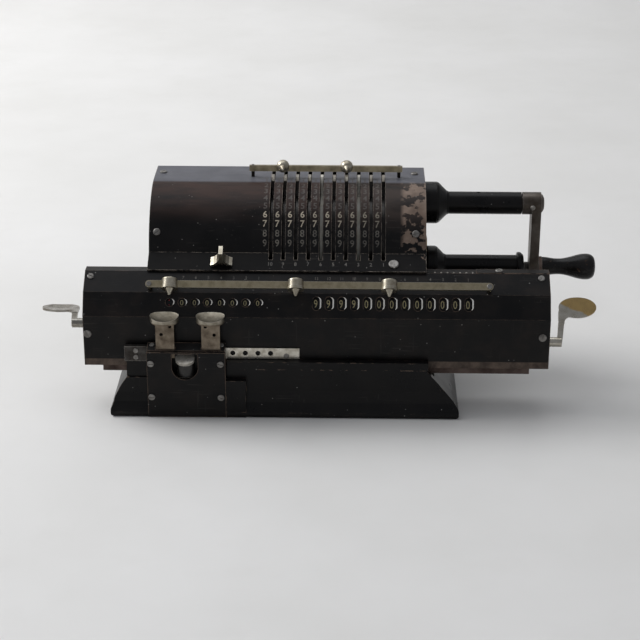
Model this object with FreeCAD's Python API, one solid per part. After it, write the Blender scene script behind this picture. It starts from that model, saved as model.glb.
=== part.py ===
import FreeCAD, Part
import math
import os

# Pinwheel calculator. X runs along the machine, -Y is the front, +Z is up.
# The origin is on the table under the middle of the base. Sizes are millimetres.

# Driving dimensions
decimal_pitch = 7.2
lever_count = 10
result_count = 13
counter_count = 8
sheet = 1.0
fit = 0.05

# Base casting
base_top = 23.0
base_front = -57.0
base_back = 62.0
foot_half_length = 100.0
base_top_left = -90.4
base_wall = 4.0
hollow_left = -86.0
hollow_right = 82.0
front_wall_top = 28.6
front_wall_back = -53.0

# Drum, its cover and side frames
drum_y = 16.5
drum_z = 78.3
cover_radius = 40.3
cover_top = drum_z + cover_radius
cover_left = -79.2
cover_right = 80.6
cover_back_y = 39.7
crease_angle = 77.9
lip_y = -34.8
lip_z = 80.3
back_radius = 46.5
side_thickness = 9.0
side_front = -21.0
slot_width = 2.2
slot_back_y = 36.0
slot_end_angle = 82.4
first_slot_x = -8.8
lever_tip_radius = 42.9
drum_shaft_radius = 4.0

# Pinwheels and setting levers, measured along X from each slot's middle
ring_half = 0.8
groove_half = 0.95
ring_hub_radius = 19.95
ring_bore_radius = 20.02
ring_outer_radius = 31.0
wheel_radius = 34.0
wheel_right = 2.9
collar_left = 1.7

# Crank and rest post
crank_y = 22.0
crank_z = 102.7
crank_throw = 40.0
shaft_radius = 5.0
sleeve_radius = 6.65
sleeve_end = 138.2
arm_left = 144.3
arm_right = 149.8
grip_length = 31.8
gear_left = 64.6
gear_right = 70.6
gear_teeth = 20

# Carriage
carriage_left = -114.9
carriage_right = 150.8
carriage_back = -27.2
carriage_top = 79.2
upper_bend = (-33.6, 79.2)
middle_bend = (-45.5, 70.8)
ridge = (-52.4, 58.5)
carriage_front = -52.4
carriage_bottom = 28.3
end_plate = 3.0
window_share = 0.40
first_counter_x = -65.5
first_result_x = 17.9
dial_radius = 12.6
dial_gear_radius = 12.2
dial_shaft_radius = 2.5
clear_axis_y = -38.0
result_clear_z = 39.0
counter_clear_z = 48.4
lever_sheet = 1.5

# Marker rails
front_rail_y = -47.5
front_rail_z = 76.6
front_rail_tilt = -40.0
front_rail_ends = (-78.9, 117.9)
top_rail_y = 19.5
top_rail_z = 124.2
top_rail_ends = (-22.9, 67.2)
rail_half_height = 2.1
rail_half_thickness = 0.8
rail_play = 0.25
front_marker_x = (-65.1, 6.3, 59.2)
top_marker_x = (-3.1, 34.4)

# Shift box, its keys and its button
box_left = -78.0
box_right = -33.6
box_front = -62.0
box_back = -54.2
box_plate = 1.5
box_top_front = 40.6
box_top_back = 43.6
key_x = (-67.6, -41.6)
button_x = -56.5
notch_half = 7.4
notch_low = 31.2
rack_first_hole_x = -8.05
rack_holes = 8

# The clearing lever turns on a pin in the cover's skirt
clear_pin_x = -36.8
clear_pin_share = 0.6
clear_pin_radius = 1.2


def vec(x, y, z):
    return FreeCAD.Vector(x, y, z)


def box(x0, x1, y0, y1, z0, z1):
    return Part.makeBox(x1 - x0, y1 - y0, z1 - z0, vec(x0, y0, z0))


def rod(x0, x1, y, z, radius):
    return Part.makeCylinder(radius, x1 - x0, vec(x0, y, z), vec(1, 0, 0))


def post(x, y, z0, z1, radius):
    return Part.makeCylinder(radius, z1 - z0, vec(x, y, z0), vec(0, 0, 1))


def slab_yz(points, x0, x1):
    """A flat outline in Y and Z, made solid from x0 to x1."""
    corners = [vec(x0, y, z) for y, z in points]
    face = Part.Face(Part.makePolygon(corners + corners[:1]))
    return face.extrude(vec(x1 - x0, 0, 0))


def slab_xz(points, y0, y1):
    """A flat outline in X and Z, made solid from y0 to y1."""
    corners = [vec(x, y0, z) for x, z in points]
    face = Part.Face(Part.makePolygon(corners + corners[:1]))
    return face.extrude(vec(0, y1 - y0, 0))


def turned(profile, y, z):
    """A solid turned about an axis along X; the profile is a list of (x, radius)."""
    start = [vec(profile[0][0], y, z)]
    end = [vec(profile[-1][0], y, z)]
    corners = start + [vec(x, y, z + radius) for x, radius in profile] + end
    face = Part.Face(Part.makePolygon(corners + corners[:1]))
    return face.revolve(vec(0, y, z), vec(1, 0, 0), 360)


def joined(shapes):
    """One solid from shapes that touch or overlap."""
    whole = shapes[0].fuse(shapes[1:])
    return whole.removeSplitter()


def tipped(shape, degrees, y, z):
    """A copy turned about an axis along X through y, z."""
    copy = shape.copy()
    copy.rotate(vec(0, y, z), vec(1, 0, 0), degrees)
    return copy


def on_drum(angle, radius):
    """The point at an angle forward of straight up, round the drum's axis."""
    turn = math.radians(angle)
    return (drum_y - radius * math.sin(turn), drum_z + radius * math.cos(turn))


def offset_path(points, distance):
    """An open path moved sideways by the distance, with mitred corners."""
    normals = []
    for (y0, z0), (y1, z1) in zip(points, points[1:]):
        length = math.hypot(y1 - y0, z1 - z0)
        normals.append((-(z1 - z0) / length, (y1 - y0) / length))
    moved = []
    for index, (y, z) in enumerate(points):
        before = normals[max(index - 1, 0)]
        after = normals[min(index, len(normals) - 1)]
        scale = distance / (1 + before[0] * after[0] + before[1] * after[1])
        moved.append((y + (before[0] + after[0]) * scale, z + (before[1] + after[1]) * scale))
    return moved


def screw(x, y, z, normal, head_radius, head_height, shank_length):
    """A domed screw with a slot; the point is where its head meets the surface."""
    head = Part.makeCylinder(head_radius, head_height, vec(0, 0, 0), vec(0, 0, 1))
    rim = [edge for edge in head.Edges if edge.BoundBox.ZMin > head_height / 2 and not edge.isSeam(head.Faces[0])]
    head = head.makeFillet(head_height * 0.6, rim[:1])
    slot_half = head_radius * 0.16
    head = head.cut(box(-head_radius, head_radius, -slot_half, slot_half, head_height * 0.45, head_height * 2))
    shank = Part.makeCylinder(head_radius * 0.5, shank_length + 0.1, vec(0, 0, -shank_length), vec(0, 0, 1))
    shape = head.fuse(shank)
    shape.rotate(vec(0, 0, 0), vec(0, 0, 1), 25 + 37 * (x % 5))
    turn = FreeCAD.Rotation(vec(0, 0, 1), vec(*normal))
    shape.Placement = FreeCAD.Placement(vec(x, y, z), turn).multiply(shape.Placement)
    return shape


def gear(x0, x1, y, z, pitch_radius, teeth, bore, phase):
    """A spur wheel with straight-sided teeth; phase turns it by that share of a tooth."""
    step = 2 * math.pi / teeth
    tooth = 2 * math.pi * pitch_radius / teeth
    root = pitch_radius - 0.38 * tooth
    tip = pitch_radius + 0.24 * tooth
    corners = []
    for index in range(teeth):
        middle = (index + phase) * step
        for share, radius in ((-0.26, root), (-0.11, tip), (0.11, tip), (0.26, root)):
            angle = middle + share * step
            corners.append((y - radius * math.sin(angle), z + radius * math.cos(angle)))
    wheel = slab_yz(corners, x0, x1)
    return wheel.cut(rod(x0 - 1, x1 + 1, y, z, bore))


def window_cutter(x, half_width, half_height):
    """A round-ended prism through the carriage's upper front facet."""
    straight = half_height - half_width
    shape = Part.makeCylinder(half_width, 8, vec(0, straight, -4), vec(0, 0, 1))
    if straight > 0:
        lower = Part.makeCylinder(half_width, 8, vec(0, -straight, -4), vec(0, 0, 1))
        shape = shape.fuse([lower, box(-half_width, half_width, -straight, straight, -4, 4)])
    facet = math.degrees(math.atan2(middle_bend[1] - ridge[1], middle_bend[0] - ridge[0]))
    shape.rotate(vec(0, 0, 0), vec(1, 0, 0), facet)
    shape.translate(vec(x, window_y, window_z))
    return shape


def ring_of(x0, x1, y, z, outer, bore):
    return rod(x0, x1, y, z, outer).cut(rod(x0 - 1, x1 + 1, y, z, bore))


# Places worked out from the driving dimensions
slot_x = [first_slot_x + decimal_pitch * index for index in range(lever_count)]
counter_x = [first_counter_x + decimal_pitch * index for index in range(counter_count)]
result_x = [first_result_x + decimal_pitch * index for index in range(result_count)]
handle_y = crank_y
handle_z = crank_z - crank_throw
crease = on_drum(crease_angle, cover_radius)
window_y = middle_bend[0] + (ridge[0] - middle_bend[0]) * window_share
window_z = middle_bend[1] + (ridge[1] - middle_bend[1]) * window_share
facet_length = math.hypot(ridge[0] - middle_bend[0], ridge[1] - middle_bend[1])
facet_in = ((middle_bend[1] - ridge[1]) / facet_length, (ridge[0] - middle_bend[0]) / facet_length)
dial_depth = sheet + 0.5 + dial_radius
dial_y = window_y + facet_in[0] * dial_depth
dial_z = window_z + facet_in[1] * dial_depth

# The transfer shaft keeps clear of the lever tips on one side and the dials on the other
transfer_to_drum = lever_tip_radius + 3.3
transfer_to_dial = 25.0
axis_gap = math.hypot(drum_y - dial_y, drum_z - dial_z)
axis_rise = math.atan2(drum_z - dial_z, drum_y - dial_y)
transfer_cosine = (transfer_to_dial ** 2 + axis_gap ** 2 - transfer_to_drum ** 2) / (2 * transfer_to_dial * axis_gap)
transfer_turn = axis_rise - math.acos(transfer_cosine)
transfer_y = dial_y + transfer_to_dial * math.cos(transfer_turn)
transfer_z = dial_z + transfer_to_dial * math.sin(transfer_turn)

parts = {}


def base_casting():
    """A cast base with flared feet, a coved front and an open underside."""
    foot = foot_half_length
    ends = [(-foot + 1.6, 0), (-foot + 0.4, 0.8), (-foot, 2.2), (-foot, 4.4), (-foot + 1.6, 8), (-foot + 2.4, 11),
            (-foot + 5.4, 17), (-foot + 8.4, 21.6), (base_top_left, base_top), (85.8, base_top), (96.8, 10),
            (foot - 0.6, 6), (foot, 4.2), (foot, 2.2), (foot - 0.4, 0.8), (foot - 1.6, 0)]
    body = slab_xz(ends, -62.0, base_back)
    side = [(-60.8, 0), (-61.5, 0.8), (-61.8, 2.0), (-61.6, 3.2), (-60.2, 5.0), (-58.6, 8.5), (-57.6, 14),
            (base_front, base_top), (60.0, base_top), (base_back, base_top - 2), (base_back, 0)]
    body = body.common(slab_yz(side, -100, 100))
    wall = slab_xz([(-33.2, 15), (-33.2, front_wall_top), (81.0, front_wall_top), (85.8, base_top), (90.0, 15)],
                   base_front - 0.5, front_wall_back)
    left_wall = box(base_top_left, box_left - 0.3, -56.0, front_wall_back, 15, 33.2)
    right_block = box(box_right + 0.3, -22.0, box_front + 0.5, base_front + 1, 0, base_top)
    body = joined([body, wall, left_wall, right_block])
    body = body.cut(box(box_left - 0.3, box_right + 0.3, -70, box_back + 0.2, -1, 40))
    hollow = box(hollow_left, hollow_right, front_wall_back + 3, base_back - base_wall, -1, base_top - base_wall)
    body = body.cut(hollow)
    ribs = [box(x - 2, x + 2, front_wall_back + 3, base_back - base_wall, 8, base_top - base_wall) for x in (-30, 30)]
    return joined([body] + ribs)


def base_bottom_plate():
    """A flat plate that closes the base's underside and stands on the table."""
    return box(hollow_left + fit, hollow_right - fit, front_wall_back + 3 + fit, base_back - base_wall - fit, 0, 1.6)


def guide_rails():
    front = box(box_right + 0.6, 82.0, base_front - 0.5, front_wall_back, front_wall_top, 33.2)
    bar = box(-86, 83, -25.6, -21.4, base_top, 33.5)
    tongue = box(-86, 83, -29.9, -25.6, 30.0, 32.5)
    return front, joined([bar, tongue])


def cover_path(radius, skirt_inset):
    """The drum cover's outline in Y and Z, from the back edge to the lip."""
    run = math.hypot(crease[0] - lip_y, crease[1] - lip_z)
    along = ((lip_y - crease[0]) / run, (lip_z - crease[1]) / run)
    inward = (-along[1] * skirt_inset, along[0] * skirt_inset)
    top = drum_z + radius
    bend = on_drum(crease_angle, radius)
    middle = on_drum(crease_angle / 2, radius)
    lip = (lip_y + inward[0], lip_z + inward[1])
    return (cover_back_y, top), (drum_y, top), middle, bend, lip


def on_skirt(shape):
    """Places a shape made about the clearing lever's pin, with Z along the skirt's normal."""
    slope = math.degrees(math.atan2(crease[1] - lip_z, crease[0] - lip_y))
    shape.rotate(vec(0, 0, 0), vec(1, 0, 0), slope)
    pin_y = crease[0] + (lip_y - crease[0]) * clear_pin_share
    pin_z = crease[1] + (lip_z - crease[1]) * clear_pin_share
    shape.translate(vec(clear_pin_x, pin_y, pin_z))
    return shape


def drum_cover():
    """Sheet cover: flat top, rounded front, sloping skirt and a slot for each lever."""
    outer = cover_path(cover_radius, 0)
    inner = cover_path(cover_radius - sheet, sheet)
    place = [vec(cover_left, y, z) for y, z in outer]
    under = [vec(cover_left, y, z) for y, z in inner]
    edges = [Part.LineSegment(place[0], place[1]), Part.Arc(place[1], place[2], place[3]),
             Part.LineSegment(place[3], place[4]), Part.LineSegment(place[4], under[4]),
             Part.LineSegment(under[4], under[3]), Part.Arc(under[3], under[2], under[1]),
             Part.LineSegment(under[1], under[0]), Part.LineSegment(under[0], place[0])]
    face = Part.Face(Part.Wire([edge.toShape() for edge in edges]))
    cover = face.extrude(vec(cover_right - cover_left, 0, 0))
    far = 90.0
    slot_end = on_drum(slot_end_angle, far)
    outline = [(drum_y, drum_z), slot_end, (slot_end[0], 130), (slot_back_y, 130), (slot_back_y, drum_z)]
    cuts = [slab_yz(outline, x - slot_width / 2, x + slot_width / 2) for x in slot_x]
    pin_hole = Part.makeCylinder(clear_pin_radius + fit, 6, vec(0, 0, -3), vec(0, 0, 1))
    cuts.append(on_skirt(pin_hole))
    return cover.cut(cuts)


def rear_cover():
    """Sheet cover round the back, from the top plate's back edge to the base."""
    lean = math.degrees(math.asin((cover_back_y - drum_y) / back_radius))
    outer = [on_drum(-lean, back_radius), on_drum(-(lean + 90) / 2, back_radius), on_drum(-90, back_radius)]
    inner_radius = back_radius - sheet
    inner_lean = lean - 0.1
    inner = [on_drum(-inner_lean, inner_radius), on_drum(-(inner_lean + 90) / 2, inner_radius),
             on_drum(-90, inner_radius)]
    foot = base_top + 0.1
    a = [vec(cover_left, y, z) for y, z in outer]
    b = [vec(cover_left, y, z) for y, z in inner]
    a_foot = vec(cover_left, a[2].y, foot)
    b_foot = vec(cover_left, b[2].y, foot)
    edges = [Part.Arc(a[0], a[1], a[2]), Part.LineSegment(a[2], a_foot), Part.LineSegment(a_foot, b_foot),
             Part.LineSegment(b_foot, b[2]), Part.Arc(b[2], b[1], b[0]), Part.LineSegment(b[0], a[0])]
    face = Part.Face(Part.Wire([edge.toShape() for edge in edges]))
    cover = face.extrude(vec(cover_right - cover_left, 0, 0))
    return cover.cut(box(cover_left - 1, cover_right + 1, 0, cover_back_y, cover_top - sheet, 130))


def side_frame(x0, x1):
    """A cast side plate that stands on the base and carries the shafts and covers."""
    front_radius = cover_radius - sheet - fit
    rear_radius = back_radius - sheet - fit
    top = drum_z + front_radius
    rear_lean = math.degrees(math.acos(front_radius / rear_radius))
    rear = [on_drum(-rear_lean, rear_radius), on_drum(-(rear_lean + 90) / 2, rear_radius), on_drum(-90, rear_radius)]
    front = [on_drum(0, front_radius), on_drum(38, front_radius), on_drum(75, front_radius)]
    r = [vec(x0, y, z) for y, z in rear]
    f = [vec(x0, y, z) for y, z in front]
    step = vec(x0, side_front, 81.5)
    front_foot = vec(x0, side_front, base_top)
    back_foot = vec(x0, r[2].y, base_top)
    edges = [Part.LineSegment(f[0], r[0]), Part.Arc(r[0], r[1], r[2]), Part.LineSegment(r[2], back_foot),
             Part.LineSegment(back_foot, front_foot), Part.LineSegment(front_foot, step),
             Part.LineSegment(step, f[2]), Part.Arc(f[2], f[1], f[0])]
    face = Part.Face(Part.Wire([edge.toShape() for edge in edges]))
    plate = face.extrude(vec(x1 - x0, 0, 0))
    plate = plate.cut(rod(x0 - 1, x1 + 1, drum_y, drum_z, 5.05))
    window = box(x0 - 1, x1 + 1, 0, 48, base_top + 8, 50)
    return plate.cut(window)


def drum_bushes():
    left = turned([(cover_left - 1.4, 5.5), (cover_left, 5.5), (cover_left, 5.0), (cover_left + side_thickness, 5.0)],
                  drum_y, drum_z)
    right = turned([(cover_right - side_thickness, 5.0), (cover_right, 5.0), (cover_right, 5.6),
                    (cover_right + 1.8, 5.2)], drum_y, drum_z)
    bore = rod(cover_left - 5, cover_right + 5, drum_y, drum_z, drum_shaft_radius + fit)
    return Part.makeCompound([left.cut(bore), right.cut(bore)])


def pinwheel_drum():
    """Ten wheels on one shaft, each with a groove that a setting ring turns in."""
    left_end = cover_left - 1.4
    right_end = cover_right + 2.0
    profile = [(left_end, drum_shaft_radius)]
    profile.append((slot_x[0] - collar_left, drum_shaft_radius))
    for x in slot_x:
        profile.append((x - collar_left, 23.0))
        profile.append((x - groove_half, 23.0))
        profile.append((x - groove_half, ring_hub_radius))
        profile.append((x + groove_half, ring_hub_radius))
        profile.append((x + groove_half, wheel_radius))
        profile.append((x + wheel_right, wheel_radius))
        spacer = 12.0 if x != slot_x[-1] else drum_shaft_radius
        profile.append((x + wheel_right, spacer))
        profile.append((x - collar_left + decimal_pitch, spacer))
    profile[-1] = (right_end, drum_shaft_radius)
    return turned(profile, drum_y, drum_z)


def setting_lever(x):
    """A flat ring with a finger that stands out of its slot at nought."""
    ring = ring_of(x - ring_half, x + ring_half, drum_y, drum_z, ring_outer_radius, ring_bore_radius)
    tip = drum_z + lever_tip_radius
    root = drum_z + ring_outer_radius - 1.0
    finger = slab_yz([(drum_y - 3.0, root), (drum_y - 1.5, root + 4), (drum_y - 1.5, tip - 0.8),
                      (drum_y - 0.8, tip - 0.1), (drum_y + 0.8, tip - 0.1), (drum_y + 1.5, tip - 0.8),
                      (drum_y + 1.5, root + 4), (drum_y + 3.0, root)], x - ring_half, x + ring_half)
    return joined([ring, finger])


def gear_pair():
    """The crank's wheel and the drum's wheel, one to one and in mesh."""
    reach_y = crank_y - drum_y
    reach_z = crank_z - drum_z
    pitch_radius = math.hypot(reach_y, reach_z) / 2
    line = math.atan2(-reach_y, reach_z)
    tooth_turn = 2 * math.pi / gear_teeth
    drum_wheel = gear(gear_left, gear_right, drum_y, drum_z, pitch_radius, gear_teeth,
                      drum_shaft_radius + fit, line / tooth_turn)
    crank_wheel = gear(gear_left, gear_right, crank_y, crank_z, pitch_radius, gear_teeth,
                       shaft_radius + fit, (line + math.pi) / tooth_turn + 0.5)
    return drum_wheel, crank_wheel


def counter_finger():
    """The single tooth on the drum shaft that moves the turns counter."""
    hub = ring_of(-68.0, -64.0, drum_y, drum_z, 10.0, drum_shaft_radius + fit)
    finger = slab_yz([(drum_y - 2, drum_z - 9), (drum_y + 2, drum_z - 9), (drum_y + 1, drum_z - 37),
                      (drum_y - 1, drum_z - 37)], -67.0, -65.0)
    return joined([hub, finger])


def transfer_gears():
    """Wheels between the pinwheels and the dials, on one shaft."""
    shapes = [rod(-20.5, 65.0, transfer_y, transfer_z, dial_shaft_radius)]
    for x in slot_x:
        shapes.append(gear(x + 1.1, x + 2.5, transfer_y, transfer_z, 10.3, 16, 2.0, 0.0))
    return joined(shapes)


def transfer_bearers():
    """Two uprights that carry the transfer shaft."""
    shapes = []
    for x0, x1 in ((-19.5, -16.0), (60.5, 64.0)):
        upright = slab_yz([(transfer_y - 3, base_top), (transfer_y + 9, base_top),
                           (transfer_y + 2.4, transfer_z), (transfer_y - 3, transfer_z)], x0, x1)
        eye = rod(x0, x1, transfer_y, transfer_z, 3.1)
        whole = joined([upright, eye])
        shapes.append(whole.cut(rod(x0 - 1, x1 + 1, transfer_y, transfer_z, dial_shaft_radius + fit)))
    return Part.makeCompound(shapes)


def tie_rods():
    left = cover_left + side_thickness
    right = cover_right - side_thickness
    return Part.makeCompound([rod(left, right, 54.0, 31.0, 3.0), rod(left, right, 3.0, 28.0, 3.0)])


def crank_sleeve():
    """The long tube that carries the crank shaft, with an oil hole on top."""
    start = cover_right - side_thickness + 0.5
    sleeve = turned([(start, sleeve_radius), (cover_right, sleeve_radius), (cover_right, 12.4),
                     (cover_right + 7.2, 12.4), (cover_right + 8.5, 11.9), (cover_right + 9.8, 10.7),
                     (cover_right + 13.3, 7.2), (cover_right + 14.6, sleeve_radius), (sleeve_end, sleeve_radius)],
                    crank_y, crank_z)
    sleeve = sleeve.cut(rod(start - 1, sleeve_end + 1, crank_y, crank_z, shaft_radius + fit))
    return sleeve.cut(post(112.6, crank_y, crank_z + 5.5, crank_z + 8, 0.9))


def crank_rest_post():
    """The fixed post that the locking pin stands against when the crank is home."""
    return turned([(cover_right, 8.5), (cover_right + 2.4, 8.5), (cover_right + 2.4, 11.4), (cover_right + 3.0, 11.9),
                   (cover_right + 7.2, 11.9), (cover_right + 8.5, 11.4), (cover_right + 12.6, 7.3),
                   (cover_right + 14.0, 6.7), (136.8, 6.7), (137.2, 8.2), (138.0, 8.5), (139.4, 8.4), (141.0, 6.9)],
                  handle_y, handle_z)


def crank_arm():
    """Steel arm with a clamp hub round the shaft and an eye for the handle's pin."""
    hub = rod(sleeve_end + 0.7, arm_left + 1, crank_y, crank_z, sleeve_radius)
    eye = rod(arm_left, arm_right, crank_y, crank_z, sleeve_radius)
    foot = rod(arm_left, arm_right, handle_y, handle_z, 5.6)
    web = slab_yz([(crank_y - 6.6, crank_z), (crank_y + 6.6, crank_z),
                   (handle_y + 5.5, handle_z), (handle_y - 5.5, handle_z)], arm_left, arm_right)
    arm = joined([hub, eye, foot, web])
    arm = arm.cut(rod(130, 152, crank_y, crank_z, shaft_radius + fit))
    return arm.cut(rod(140, 152, handle_y, handle_z, 2.05))


def crank_shaft():
    shaft = rod(gear_left - 1, arm_right + 0.1, crank_y, crank_z, shaft_radius)
    cap = turned([(arm_right, 5.4), (arm_right + 0.8, 5.4), (arm_right + 1.8, 3.6)], crank_y, crank_z)
    return joined([shaft, cap])


def handle_pin():
    """The pin that the handle turns on; its inner end is the locking pin."""
    return turned([(141.6, 2.6), (arm_left - 0.1, 2.6), (arm_left - 0.1, 2.0), (181.0, 2.0)], handle_y, handle_z)


def handle_collar():
    return ring_of(arm_right + 0.3, arm_right + 2.3, handle_y, handle_z, 6.0, 2.05)


def crank_handle():
    """A turned pear-shaped grip."""
    start = arm_right + 2.6
    outline = [(start, 5.7), (start + 2, 5.6), (start + 6, 5.0), (start + 11, 4.8), (start + 16.5, 5.8),
               (start + 21.5, 7.2), (start + 25.7, 7.8), (start + 29.3, 7.2), (start + grip_length - 0.6, 5.4)]
    curve = Part.BSplineCurve()
    curve.interpolate([vec(x, handle_y, handle_z + radius) for x, radius in outline])
    rounding = [(start + grip_length - 0.6, 5.4), (start + grip_length - 0.1, 3.6), (start + grip_length, 0)]
    nose = [vec(x, handle_y, handle_z + radius) for x, radius in rounding]
    first = vec(start, handle_y, handle_z)
    shoulder = vec(start, handle_y, handle_z + 5.7)
    edges = [Part.LineSegment(first, shoulder).toShape(), curve.toShape(),
             Part.LineSegment(nose[0], nose[1]).toShape(), Part.LineSegment(nose[1], nose[2]).toShape(),
             Part.LineSegment(nose[2], first).toShape()]
    body = Part.Face(Part.Wire(edges)).revolve(first, vec(1, 0, 0), 360)
    return body.cut(rod(start - 1, 181.4, handle_y, handle_z, 2.06))


def carriage_cover():
    """Folded sheet cover with a row of round and a row of long windows."""
    outer = [(carriage_back, carriage_top), upper_bend, middle_bend, ridge, (carriage_front, carriage_bottom)]
    inner = offset_path(outer, sheet)
    cover = slab_yz(outer + inner[::-1], carriage_left, carriage_right)
    strip = box(109.2, carriage_right, upper_bend[0] + 0.4, carriage_back, carriage_top - 0.2, carriage_top + 0.3)
    cover = joined([cover, strip])
    cuts = [window_cutter(x, 2.3, 2.3) for x in counter_x]
    cuts += [window_cutter(x, 2.1, 3.8) for x in result_x]
    return cover.cut(cuts)


def carriage_end(x0, x1, axis_z):
    """An end plate inside the carriage's cover, bored for its clearing lever."""
    outer = [(carriage_back, carriage_top), upper_bend, middle_bend, ridge, (carriage_front, carriage_bottom)]
    inner = offset_path(outer, sheet + fit)
    plate = slab_yz(inner + [(carriage_back, inner[-1][1])], x0, x1)
    return plate.cut(rod(x0 - 1, x1 + 1, clear_axis_y, axis_z, 2.0 + fit))


def carriage_bottom_rail():
    """The carriage's lower plate, with an upright grooved for the guide tongue."""
    left = carriage_left + end_plate
    right = carriage_right - end_plate
    lower = box(-104.5, 140.0, -51.4, carriage_back, 24.6, carriage_bottom)
    upright = box(left, right, -33.5, carriage_back, carriage_bottom - 0.1, 37.0)
    shelf = box(left, right, carriage_front + sheet + fit, -33.4, carriage_bottom - 0.1, carriage_bottom + 1.6)
    rail = joined([lower, upright, shelf])
    return rail.cut(box(-200, 200, -30.3, carriage_back + 1, 29.7, 32.8))


def dial(x):
    """A figure wheel with its gear on the right."""
    rim = ring_of(x - 2.5, x + 2.7, dial_y, dial_z, dial_radius, dial_shaft_radius + fit)
    wheel = gear(x + 2.6, x + 4.2, dial_y, dial_z, 11.2, 20, dial_shaft_radius + fit, 0.0)
    return joined([rim, wheel])


def clear_lever(side, axis_z, lean):
    """A clearing lever outside one end of the carriage; side is 1 at the right, -1 at the left."""
    end = carriage_right if side > 0 else -carriage_left
    hub = turned([(end - 5.4, 3.2), (end - 3.4, 3.2), (end - 3.4, 2.0), (end + 0.4, 2.0), (end + 0.4, 2.8),
                  (end + 8.2, 2.8)], clear_axis_y, axis_z)
    half = lever_sheet / 2
    bend = 11.3
    strip = [(5.4, -2.8), (8.4, -2.8), (9.2, 3.0), (10.0, bend + 0.6), (6.6, bend + 0.6), (6.0, 3.0)]
    arm = slab_xz([(end + x, rise) for x, rise in strip], -half, half)
    middle_x = 17.8
    middle_rise = 9.0
    neck = [(6.6, -1.2), (10.0, -1.2), (10.2, 0.6), (11.0, 2.1), (12.4, 3.1), (14.4, 3.4), (middle_x, 4.2),
            (middle_x, middle_rise), (7.4, middle_rise), (6.9, 7.2), (6.6, 5.0)]
    paddle = slab_xz([(end + x, rise) for x, rise in neck], -half, half)
    face = Part.Face(Part.Wire([Part.Ellipse(vec(0, 0, 0), 10.9, 6.2).toShape()]))
    oval = face.extrude(vec(0, 0, lever_sheet))
    oval.rotate(vec(0, 0, 0), vec(1, 0, 0), 90)
    oval.translate(vec(end + middle_x, half, middle_rise))
    dish_radius = 34.0
    dish = Part.makeSphere(dish_radius, vec(end + middle_x, -half - dish_radius + 0.9, middle_rise))
    paddle = joined([paddle, oval]).cut(dish)
    paddle.rotate(vec(0, 0, 0), vec(1, 0, 0), -15)
    paddle.translate(vec(0, 0, bend))
    blade = joined([arm, paddle])
    blade.rotate(vec(0, 0, 0), vec(1, 0, 0), lean)
    blade.translate(vec(0, clear_axis_y, axis_z))
    lever = joined([hub, blade])
    if side < 0:
        lever = lever.mirror(vec(0, 0, 0), vec(1, 0, 0))
    return lever


def rail_frame_shape(shape, y, z, tilt):
    """Places a shape made round the origin, facing -Y, on a rail."""
    shape.rotate(vec(0, 0, 0), vec(1, 0, 0), tilt)
    shape.translate(vec(0, y, z))
    return shape


def front_marker_rail():
    """A round-ended strip on two short posts above the carriage's upper facet."""
    left, right = front_rail_ends
    shapes = [box(left + rail_half_height, right - rail_half_height, -rail_half_thickness, rail_half_thickness,
                  -rail_half_height, rail_half_height)]
    for x in (left + rail_half_height, right - rail_half_height):
        shapes.append(Part.makeCylinder(rail_half_height, 2 * rail_half_thickness, vec(x, -rail_half_thickness, 0),
                                        vec(0, 1, 0)))
        shapes.append(Part.makeCylinder(1.4, 9.0, vec(x, 0, 0), vec(0, 1, 0)))
    rail = rail_frame_shape(joined(shapes), front_rail_y, front_rail_z, front_rail_tilt)
    run_y = upper_bend[0] - middle_bend[0]
    run_z = upper_bend[1] - middle_bend[1]
    under_facet = [(middle_bend[0] - run_y, middle_bend[1] - run_z), (upper_bend[0] + run_y, upper_bend[1] + run_z),
                   (upper_bend[0] + run_y, ridge[1]), (middle_bend[0] - run_y, ridge[1])]
    return rail.cut(slab_yz(under_facet, left - 1, right + 1))


def top_marker_rail():
    """A flat strip with two thin posts behind it, on the drum cover."""
    left, right = top_rail_ends
    half_height = rail_half_height - 0.3
    shapes = [box(left, right, top_rail_y - rail_half_thickness, top_rail_y + rail_half_thickness,
                  top_rail_z - half_height, top_rail_z + half_height)]
    for x in (left + 2.0, right - 2.0):
        shapes.append(post(x, top_rail_y + rail_half_thickness + 0.5, cover_top, top_rail_z + 1.0, 1.0))
    return joined(shapes)


def marker_slot(x, reach):
    half_thickness = rail_half_thickness + rail_play
    half_height = rail_half_height + rail_play
    return box(x - reach, x + reach, -half_thickness, half_thickness, -half_height, half_height)


def front_marker(x):
    """A round cap on the rail with a collar and a cone that points at the figures."""
    cap = Part.makeCylinder(4.5, 4.8, vec(x, 0, -1.4), vec(0, 0, 1))
    rim = [edge for edge in cap.Edges if edge.BoundBox.ZMin > 3.3]
    cap = cap.makeFillet(0.9, rim)
    collar = Part.makeCylinder(4.8, 1.6, vec(x, 0, -2.8), vec(0, 0, 1))
    cone = Part.makeCone(1.0, 2.5, 2.8, vec(x, 0, -5.5), vec(0, 0, 1))
    tip = Part.makeSphere(1.0, vec(x, 0, -5.5))
    shape = joined([cap, collar, cone, tip]).cut(marker_slot(x, 8))
    return rail_frame_shape(shape, front_rail_y, front_rail_z, front_rail_tilt)


def top_marker(x):
    """A ball on the top rail with a short cone towards the slots."""
    lift = 1.2
    ball = Part.makeSphere(3.8, vec(x, 0, lift))
    cone = Part.makeCone(1.9, 0.5, 3.4, vec(x, -3.0, lift), vec(0, -1, 0))
    shape = joined([ball, cone]).cut(marker_slot(x, 8))
    return rail_frame_shape(shape, top_rail_y, top_rail_z, 0)


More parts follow.
